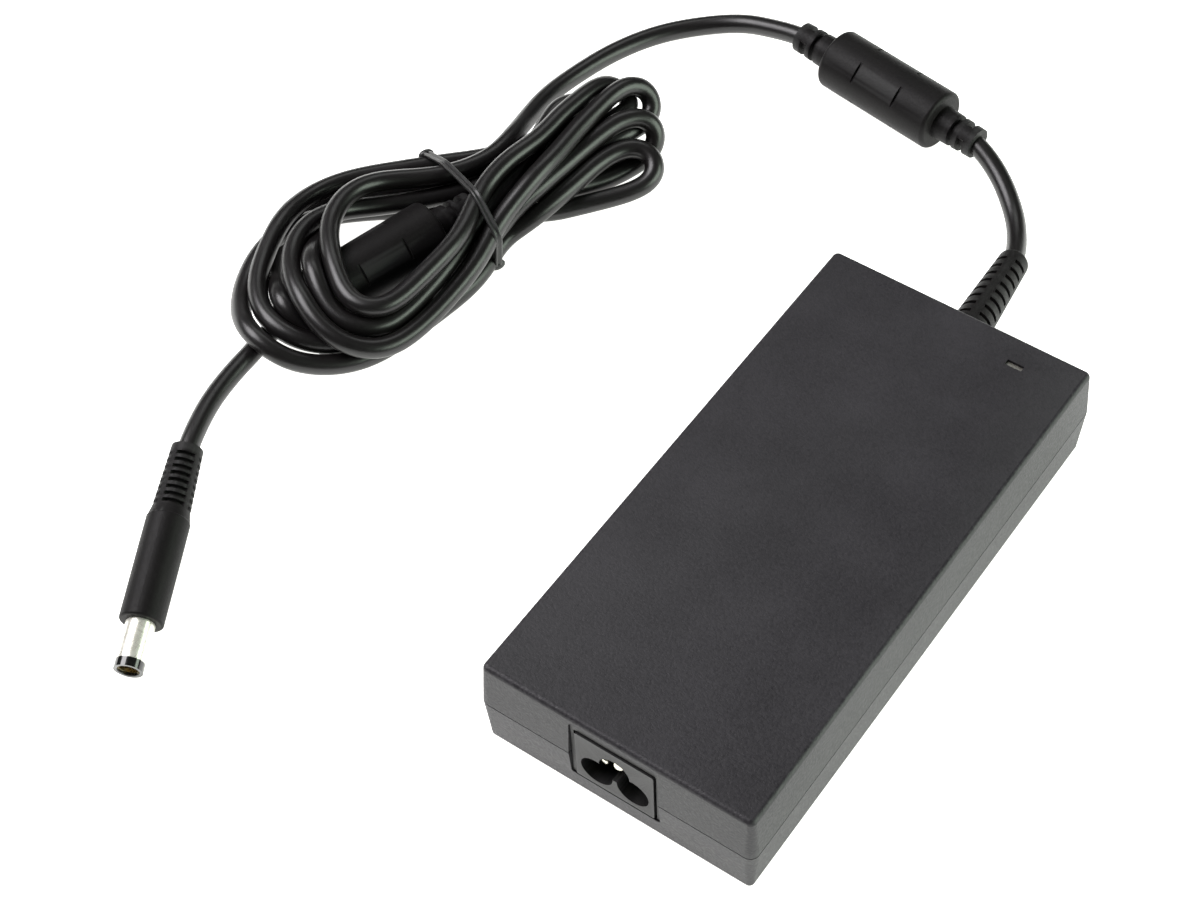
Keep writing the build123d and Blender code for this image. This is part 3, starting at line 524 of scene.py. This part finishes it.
looks = {
    "case_plastic": dict(
        dark=(0.0115, 0.0100, 0.0128), light=(0.0265, 0.0242, 0.0286), rough=(0.42, 0.58),
        patch=45, grain=1500, depth=0.00012, strength=1.0, worn=(0.045, 0.045, 0.046), specular=0.34,
    ),
    "inlet_plastic": dict(
        dark=(0.0050, 0.0048, 0.0050), light=(0.0090, 0.0086, 0.0090), rough=(0.42, 0.54),
        grain=2600, depth=0.00003, strength=0.5, worn=(0.05, 0.05, 0.05), specular=0.36,
    ),
    "pin_metal": dict(
        dark=(0.80, 0.76, 0.62), light=(0.92, 0.90, 0.80), rough=(0.16, 0.3),
        grain=900, depth=0.000008, strength=0.4, metallic=1.0,
    ),
    "window_clear": dict(
        dark=(0.12, 0.115, 0.10), light=(0.19, 0.18, 0.16), rough=(0.2, 0.34),
        grain=900, depth=0.00002, strength=0.4, transmission=0.25,
    ),
    "lamp_lens": dict(
        dark=(0.55, 0.58, 0.62), light=(0.75, 0.78, 0.82), rough=(0.08, 0.16),
        grain=700, depth=0.00001, transmission=0.6,
    ),
    "plate_film": dict(
        dark=(0.10, 0.10, 0.105), light=(0.14, 0.14, 0.145), rough=(0.32, 0.42),
        grain=1500, depth=0.00001, strength=0.4, worn=(0.3, 0.3, 0.3),
    ),
    "board_laminate": dict(
        dark=(0.012, 0.07, 0.03), light=(0.025, 0.12, 0.05), rough=(0.3, 0.45),
        patch=120, grain=1400,
    ),
    "sheet_fibre": dict(
        dark=(0.40, 0.36, 0.27), light=(0.52, 0.48, 0.38), rough=(0.6, 0.8),
        grain=1100,
    ),
    "shield_metal": dict(
        dark=(0.58, 0.58, 0.59), light=(0.72, 0.72, 0.73), rough=(0.25, 0.4),
        grain=900, metallic=1.0,
    ),
    "sink_metal": dict(
        dark=(0.50, 0.51, 0.53), light=(0.66, 0.67, 0.69), rough=(0.3, 0.45),
        grain=1000, metallic=1.0,
    ),
    "package_black": dict(
        dark=(0.012, 0.012, 0.012), light=(0.03, 0.03, 0.03), rough=(0.5, 0.7),
        grain=2500,
    ),
    "fuse_body": dict(
        dark=(0.60, 0.57, 0.50), light=(0.75, 0.72, 0.65), rough=(0.35, 0.5),
        grain=1200,
    ),
    "capacitor_box": dict(
        dark=(0.55, 0.42, 0.04), light=(0.70, 0.56, 0.08), rough=(0.28, 0.4),
        grain=1200,
    ),
    "capacitor_sleeve": dict(
        dark=(0.01, 0.012, 0.02), light=(0.03, 0.033, 0.05), rough=(0.2, 0.32),
        grain=900,
    ),
    "ferrite": dict(
        dark=(0.03, 0.03, 0.032), light=(0.07, 0.07, 0.075), rough=(0.5, 0.7),
        grain=3000,
    ),
    "copper_wire": dict(
        dark=(0.45, 0.16, 0.06), light=(0.70, 0.30, 0.13), rough=(0.2, 0.35),
        grain=1500, metallic=1.0,
    ),
    "bobbin_plastic": dict(
        dark=(0.08, 0.06, 0.04), light=(0.13, 0.10, 0.07), rough=(0.4, 0.55),
        grain=1500,
    ),
    "wire_insulation": dict(
        dark=(0.02, 0.02, 0.025), light=(0.04, 0.04, 0.05), rough=(0.35, 0.5),
        grain=1500,
    ),
    "cord_jacket": dict(
        dark=(0.0034, 0.0026, 0.0028), light=(0.0054, 0.0044, 0.0046), rough=(0.30, 0.38),
        patch=90, grain=2600, depth=0.000018, strength=0.4, worn=(0.03, 0.03, 0.03),
    ),
    "overmould": dict(
        dark=(0.0034, 0.0028, 0.0030), light=(0.0064, 0.0054, 0.0056), rough=(0.44, 0.58),
        patch=80, grain=2000, depth=0.00006, strength=0.8, worn=(0.045, 0.045, 0.045),
        specular=0.15, sheen=0.02,
    ),
    "tie_rubber": dict(
        dark=(0.010, 0.010, 0.010), light=(0.018, 0.018, 0.018), rough=(0.32, 0.45),
        grain=2400, depth=0.00002, worn=(0.05, 0.05, 0.05),
    ),
    # painted reflection: the barrel's colour is pale metal, and the diffuse third that metallic at only
    # 0.65 leaves stands in for the bright surround that a fully metal barrel would mirror
    "barrel_metal": dict(
        dark=(0.86, 0.84, 0.74), light=(0.95, 0.94, 0.87), rough=(0.24, 0.34),
        grain=700, depth=0.000006, strength=0.4, metallic=0.65,
    ),
    "contact_metal": dict(
        dark=(0.65, 0.52, 0.28), light=(0.80, 0.68, 0.42), rough=(0.2, 0.32),
        grain=900, metallic=1.0,
    ),
    "tip_plastic": dict(
        dark=(0.004, 0.004, 0.004), light=(0.008, 0.008, 0.008), rough=(0.12, 0.22),
        grain=1500, depth=0.000008, coat=0.5,
    ),
}
materials = {name: surface(name, **look) for name, look in looks.items()}


def dress(piece, slot):
    """Gives a piece its one material."""
    piece.data.materials.clear()
    piece.data.materials.append(materials[slot])


for part in frame["record"]["subparts"]:
    dress(nodes[part["node"]], part["material_slot"])

dress(cord, "cord_jacket")

# ---------------------------------------------------------------- tie

TIE_WIDTH = 2.2
TIE_THICKNESS = 1.2
TIE_SLANT = 0.07  # how far the tie's plane moves along the hank, per length across it
TIE_MIDDLE = 3.0  # where across the hank that plane meets the tie's centre
TIE_SLACK = 0.1
COLLAR_RADIUS = 4.45  # the second sleeve's collar, which the tie goes round as well
BAND_POINTS = 160
BAND_CORNER = 0.2
BAND_BULGE = (0.25, 0.8)  # the depths between which the band is widest
RIDGE_CORNER = 0.25
CHANNEL_TOP = 0.45  # half widths of the channel between the two ridges
CHANNEL_BOTTOM = 0.25
CHANNEL_DEPTH = 0.35
LOWEST_BAND = 0.02
KNOB_SIZE = (2.3, 1.3, 1.6)  # half lengths of a knob
KNOB_OUT = 0.7
KNOB_SIDE = (1, 0.6)  # the two knobs lie where the loop reaches furthest this way and the other way


def past_tie(point):
    """How far along the hank a point lies past the tie's slanting plane."""
    return point[0] + TIE_SLANT * (point[1] - TIE_MIDDLE)


def strand_sections():
    """Where each strand crosses the tie's plane, as (v, z, radius) in millimetres."""
    centre = to_hank(SLEEVE_2)
    back = past_tie(centre) / (sleeve_line[0] + TIE_SLANT * sleeve_line[1])
    found = [(centre[1] - back * sleeve_line[1], SLEEVE_AXIS, COLLAR_RADIUS)]
    for before, after in zip(hank, hank[1:]):
        if (past_tie(before) < 0) != (past_tie(after) < 0):
            share = past_tie(before) / (past_tie(before) - past_tie(after))
            v, z = before[1:3] + (after[1:3] - before[1:3]) * share
            found.append((v, z, STRAND))
    return found


def hull(points):
    """The convex outline of points on a plane, anticlockwise."""
    points = sorted(set(map(tuple, points)))
    chains = []
    for ordered in (points, points[::-1]):
        chain = []
        for point in ordered:
            while len(chain) > 1:
                (ax, ay), (bx, by) = chain[-2], chain[-1]
                if (bx - ax) * (point[1] - ay) - (by - ay) * (point[0] - ax) > 0:
                    break
                chain.pop()
            chain.append(point)
        chains.append(chain[:-1])
    return np.array(chains[0] + chains[1])


def loop_round(sections):
    """The tie's inner line round the sections, as (v, z) points and the outward directions there."""
    circle = [circle_step(angle) for angle in range(0, 360, 10)]
    rims = [
        (v + (radius + TIE_SLACK) * x, z + (radius + TIE_SLACK) * y)
        for v, z, radius in sections for x, y in circle
    ]
    outline = hull(rims)
    closed = np.vstack((outline, outline[:1]))
    runs = np.r_[0, np.cumsum(np.linalg.norm(np.diff(closed, axis=0), axis=1))]
    marks = np.linspace(0, runs[-1], BAND_POINTS, endpoint=False)
    path = np.stack([np.interp(marks, runs, closed[:, axis]) for axis in (0, 1)], 1)
    for _ in range(3):
        path = 0.5 * path + 0.25 * (np.roll(path, 1, 0) + np.roll(path, -1, 0))
    along = np.roll(path, -1, 0) - np.roll(path, 1, 0)
    outward = np.stack((along[:, 1], -along[:, 0]), 1)
    outward /= np.linalg.norm(outward, axis=1)[:, None]
    return path, outward


def band_profile():
    """Across the band: a flat back, rounded sides and a shallow channel between two ridges."""
    half = TIE_WIDTH / 2
    inner, outer = BAND_BULGE
    right = [(half - BAND_CORNER, 0.0), (half, inner), (half, outer), (half - RIDGE_CORNER, TIE_THICKNESS),
             (CHANNEL_TOP, TIE_THICKNESS), (CHANNEL_BOTTOM, TIE_THICKNESS - CHANNEL_DEPTH)]
    left = [(-u, depth) for u, depth in reversed(right)]
    return left[-1:] + right + left[:-1]


def add_band(mesh, path, outward):
    """The band itself, a ring of its profile at each point of the loop."""
    profile = band_profile()
    rings = []
    for (v, z), (out_v, out_z) in zip(path, outward):
        ring = []
        for u, depth in profile:
            height = max(z + out_z * depth, LOWEST_BAND)
            across = v + out_v * depth
            ring.append(mesh.verts.new(from_hank((u - TIE_SLANT * (across - TIE_MIDDLE), across, height))))
        rings.append(ring)
    for ring, following in zip(rings, rings[1:] + rings[:1]):
        for index in range(len(profile)):
            after = (index + 1) % len(profile)
            mesh.faces.new((ring[index], ring[after], following[after], following[index]))


def add_knobs(mesh, path, outward):
    """A small knob on each side of the loop."""
    leaning = path @ KNOB_SIDE
    turn = Matrix.Rotation(math.radians(HANK_HEADING), 4, "Z")
    size = Matrix.Diagonal((*(half * MM for half in KNOB_SIZE), 1))
    for end in (leaning.argmin(), leaning.argmax()):
        v, z = path[end] + outward[end] * KNOB_OUT
        knob = Matrix.Translation(from_hank((-TIE_SLANT * (v - TIE_MIDDLE), v, max(z, KNOB_SIZE[2]))))
        bmesh.ops.create_uvsphere(mesh, u_segments=20, v_segments=12, radius=1, matrix=knob @ turn @ size)


def make_tie():
    """The band that holds the hank, wound once round every strand."""
    path, outward = loop_round(strand_sections())
    mesh = bmesh.new()
    add_band(mesh, path, outward)
    add_knobs(mesh, path, outward)
    bmesh.ops.recalc_face_normals(mesh, faces=mesh.faces)
    data = bpy.data.meshes.new("tie")
    mesh.to_mesh(data)
    mesh.free()
    data.shade_smooth()
    tie = add_object("tie", data)
    dress(tie, "tie_rubber")
    return tie


tie = make_tie()

# ---------------------------------------------------------------- floor and light

FLOOR_SIZE = 3.0
FLOOR_GAP = 0.0002
FLOOR_GLOW = 1.15
WORLD_LIGHT = 0.05


def make_floor():
    """A white sheet that glows a little, so that it looks as even as the photo's background."""
    mesh = bmesh.new()
    bmesh.ops.create_grid(mesh, x_segments=2, y_segments=2, size=FLOOR_SIZE)
    data = bpy.data.meshes.new("floor")
    mesh.to_mesh(data)
    mesh.free()
    floor = add_object("floor", data)
    floor.location = (0, 0, -FLOOR_GAP)
    paper = surface("floor_paper", (0.86, 0.87, 0.86), (0.89, 0.90, 0.89), (0.8, 0.9), patch=3,
                    grain=400, depth=0.00005, strength=0.2, specular=0.2)
    glow = paper.node_tree.nodes["Principled BSDF"]
    glow.inputs["Emission Color"].default_value = (1.0, 0.995, 0.965, 1)
    glow.inputs["Emission Strength"].default_value = FLOOR_GLOW
    data.materials.append(paper)


def make_light(name, place, target, size, power, colour):
    """A soft box at a place, facing its target."""
    data = bpy.data.lights.new(name, "AREA")
    data.shape = "RECTANGLE"
    data.size, data.size_y = size
    data.energy = power
    data.color = colour
    light = add_object(name, data)
    light.location = place
    light.rotation_mode = "QUATERNION"
    light.rotation_quaternion = (Vector(place) - Vector(target)).to_track_quat("Z", "Y")


make_floor()
make_light("key", (-0.78, -0.22, 1.0), (-0.1, 0.02, 0), (0.9, 0.8), 20, (1.0, 0.975, 1.0))
make_light("back", (-0.5, 0.9, 1.0), (-0.05, 0.05, 0), (0.7, 0.4), 2, (0.98, 1.0, 0.98))
make_light("right", (1.1, 0.4, 0.40), (0.1, 0, 0), (1.2, 0.8), 19, (0.86, 1.0, 0.85))

world = bpy.data.worlds.new("world")
scene.world = world
world.use_nodes = True
backdrop = world.node_tree.nodes["Background"]
backdrop.inputs["Color"].default_value = (0.98, 1.0, 0.98, 1)
backdrop.inputs["Strength"].default_value = WORLD_LIGHT
scene.view_settings.view_transform = "Standard"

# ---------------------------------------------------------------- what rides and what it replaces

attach(cord, "root")
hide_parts("cord_lead", "cord_run", "cord_hank", "cord_tail")
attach(tie, "root")
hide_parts("hank_tie")
